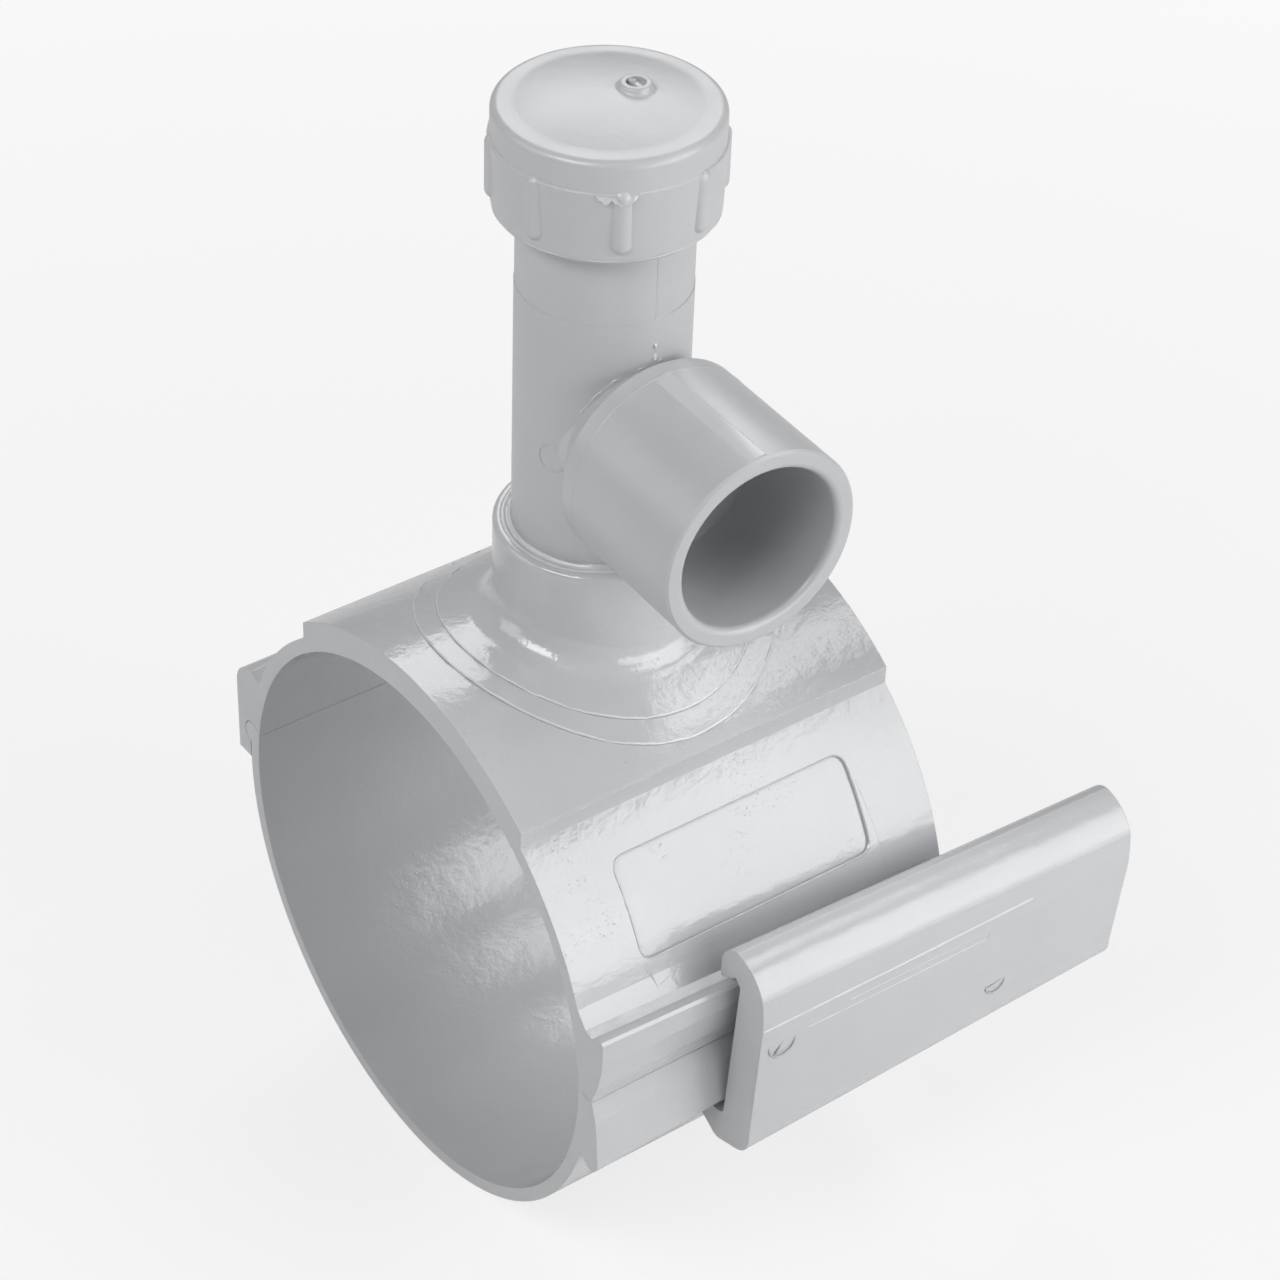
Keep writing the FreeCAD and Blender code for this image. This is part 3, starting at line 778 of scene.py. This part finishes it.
def wall_line(name, x_top, x_low, from_angle, to_angle, height):
    bm = bmesh.new()
    path = []
    for i in range(wall_line_steps + 1):
        a = radians(from_angle + (to_angle - from_angle) * i / wall_line_steps)
        x = x_top + (x_low - x_top) * i / wall_line_steps
        path.append((x, -wall_r * sin(a), wall_r * cos(a)))
    middle = radians((from_angle + to_angle) / 2)
    ridge(bm, path, (0, -sin(middle), cos(middle)), 0.4, height, 0.8)
    finish_piece(name, bm, fine_line, "saddle", smooth=False)


wall_line("insert_line_left", -40.2, -38.6, 66.5, 71.5, 0.10)
wall_line("insert_line_right", 41.4, 44.5, 52.0, 71.5, 0.08)

# %% [markdown]
# ## The panel's rim and a few scratches
# The insert also leaves a fine rim round the panel. Its outline is drawn flat, the ridge follows it
# round the four corners, and the ring is then bent on to the round wall. Two short scratches run
# below the panel, and a long one runs along the edge of the pad.

# %% Panel rim
panel_half, corner = 40.55, 4.15
panel_middle = radians(56.2)
panel_span = wall_r * radians(19.6) + 0.3
overlap = 0.4


def panel_outline():
    half_x, half_s = panel_half - corner, panel_span / 2 - corner
    corners = ((half_x, half_s), (-half_x, half_s), (-half_x, -half_s), (half_x, -half_s))
    points = []
    for quarter, (x, s) in enumerate(corners):
        angles = [radians(90 * quarter + 15.0 * i) for i in range(7)]
        points += [(x + corner * cos(a), s + corner * sin(a), 0.0) for a in angles]
    return points + [(panel_half, half_s - overlap, 0.0)]


rim = bmesh.new()
ridge(rim, panel_outline(), (0, 0, 1), 0.6, 0.2, 0.9, 1.2)
for vert in rim.verts:
    angle = panel_middle - vert.co.y / (wall_r * MM)
    reach = wall_r * MM + vert.co.z
    vert.co = Vector((vert.co.x, -reach * sin(angle), reach * cos(angle)))
finish_piece("panel_rim", rim, fine_line, "saddle", smooth=False)

# %% Scratches


def scratch(name, points, outward, height):
    bm = bmesh.new()
    ridge(bm, points, outward, 0.4, height, 1.2, 0.8)
    finish_piece(name, bm, fine_line, "saddle", smooth=False)


scratch("wall_scratch_left", [(-39.8, -81.2, 35.9), (-38.9, -82.5, 32.7), (-37.9, -85.4, 27.9)],
        (0, -0.93, 0.38), 0.12)
scratch("wall_scratch_right", [(-37.2, -84.9, 28.6), (-31.7, -83.9, 30.0), (-25.5, -83.1, 31.2)],
        (0, -0.9, 0.45), 0.12)
scratch("pad_edge_scratch", [(-57.2, -55.0, 74.3), (-37.3, -55.0, 74.6), (-17.0, -55.0, 74.8)],
        (0, -1, 0), 0.14)

# %% [markdown]
# ## Floor and background
# The background of a catalogue photograph is plain white. The floor is a large sheet at the
# object's lowest point. To the camera it is close to white, yet it keeps the object's soft shadow,
# and it lights the object's underside only as much as a pale floor does. Away from the object it
# fades to plain white, so that no horizon shows.

# %% Floor
reflected_share = 0.3
floor_half, floor_drop = 6.0, 0.0005
fade_from, fade_to = 0.35, 1.1
white_near, white_far = 0.75, 1.0


def white_to_eyes(tree, colour_shader, share):
    """Mixes plain white light into what the camera and clear reflections see of a surface."""
    glow = node(tree, "ShaderNodeEmission", Strength=1.0)
    glow.inputs["Color"].default_value = (1.0, 1.0, 1.0, 1.0)
    ray = node(tree, "ShaderNodeLightPath").outputs
    direct = calculate(tree, "MAXIMUM", ray["Is Camera Ray"], ray["Is Transmission Ray"])
    reflected = calculate(tree, "MULTIPLY", ray["Is Glossy Ray"], reflected_share)
    seen = calculate(tree, "MAXIMUM", direct, reflected)
    mix = node(tree, "ShaderNodeMixShader")
    tree.links.new(calculate(tree, "MULTIPLY", seen, share), mix.inputs[0])
    tree.links.new(colour_shader, mix.inputs[1])
    tree.links.new(glow.outputs["Emission"], mix.inputs[2])
    return mix.outputs["Shader"]


floor_paint, tree, shader = new_material("floor_paint")
shader.inputs["Base Color"].default_value = (0.86, 0.86, 0.86, 1.0)
shader.inputs["Roughness"].default_value = 0.9
output = next(n for n in tree.nodes if n.type == "OUTPUT_MATERIAL")
away = distance_from_origin(tree, coordinates(tree))
whiter = remap(tree, away, fade_from, fade_to, white_near, white_far)
tree.links.new(white_to_eyes(tree, shader.outputs["BSDF"], whiter), output.inputs["Surface"])

floor_bm = bmesh.new()
bmesh.ops.create_grid(floor_bm, x_segments=1, y_segments=1, size=floor_half)
bmesh.ops.translate(floor_bm, verts=floor_bm.verts, vec=(0, 0, cad_box[0][2] - floor_drop))
floor_mesh = bpy.data.meshes.new("floor")
floor_bm.to_mesh(floor_mesh)
floor_bm.free()
floor_mesh.materials.append(floor_paint)
floor = bpy.data.objects.new("floor", floor_mesh)
bpy.context.scene.collection.objects.link(floor)

# %% World
world = bpy.data.worlds.new("studio")
world.use_nodes = True
bpy.context.scene.world = world
tree = world.node_tree
tree.nodes.clear()
room_light = 0.02
room = node(tree, "ShaderNodeBackground", Strength=room_light)
room.inputs["Color"].default_value = (0.95, 0.97, 1.0, 1.0)
end = node(tree, "ShaderNodeOutputWorld")
tree.links.new(white_to_eyes(tree, room.outputs["Background"], 1.0), end.inputs["Surface"])

# %% [markdown]
# ## Lights
# Seven soft boxes stand round the object, as in a product studio. Their directions come from the
# bright patches that the glossy skin shows: the big front right one lights the wall under the pad,
# the high left one draws the patch on the left of the flare, the two high ones at the right and at
# the back draw the patches on the pad, and the front one lifts the faces that look forward. The
# other two fill in. Each was first rendered alone, and the levels were then chosen so that the sum
# comes close to the grey levels at some fifty places on the photograph.

# %% Lamps
lamp_distance = 1.4
aim = Vector((0.0, 0.0, 0.08))


def soft_box(name, azimuth, height, size, watts):
    """Places a soft box by the direction, in degrees, that it shines from."""
    data = bpy.data.lights.new(name, "AREA")
    data.shape = "RECTANGLE"
    data.size, data.size_y = size
    data.energy = watts
    place = direction(radians(azimuth), radians(height)) * lamp_distance + aim
    lamp = bpy.data.objects.new(name, data)
    lamp.location = place
    lamp.rotation_euler = (aim - place).to_track_quat("-Z", "Y").to_euler()
    bpy.context.scene.collection.objects.link(lamp)


soft_box("front_right_box", 35, 20, (0.8, 1.25), 9.9)
soft_box("front_top_box", 0, 66, (0.7, 0.5), 1.0)
soft_box("left_box", -78, 48, (0.8, 0.5), 7.7)
soft_box("front_box", 8, 8, (0.6, 0.6), 3.1)
soft_box("rear_left_box", -120, 30, (0.8, 0.8), 3.3)
soft_box("rear_right_box", 142, 42, (0.8, 0.65), 5.1)
soft_box("right_top_box", 70, 57, (0.5, 0.25), 1.2)

# %% [markdown]
# ## Last steps
# The colours are shown as written.

# %% Finish
bpy.context.scene.view_settings.view_transform = "Standard"
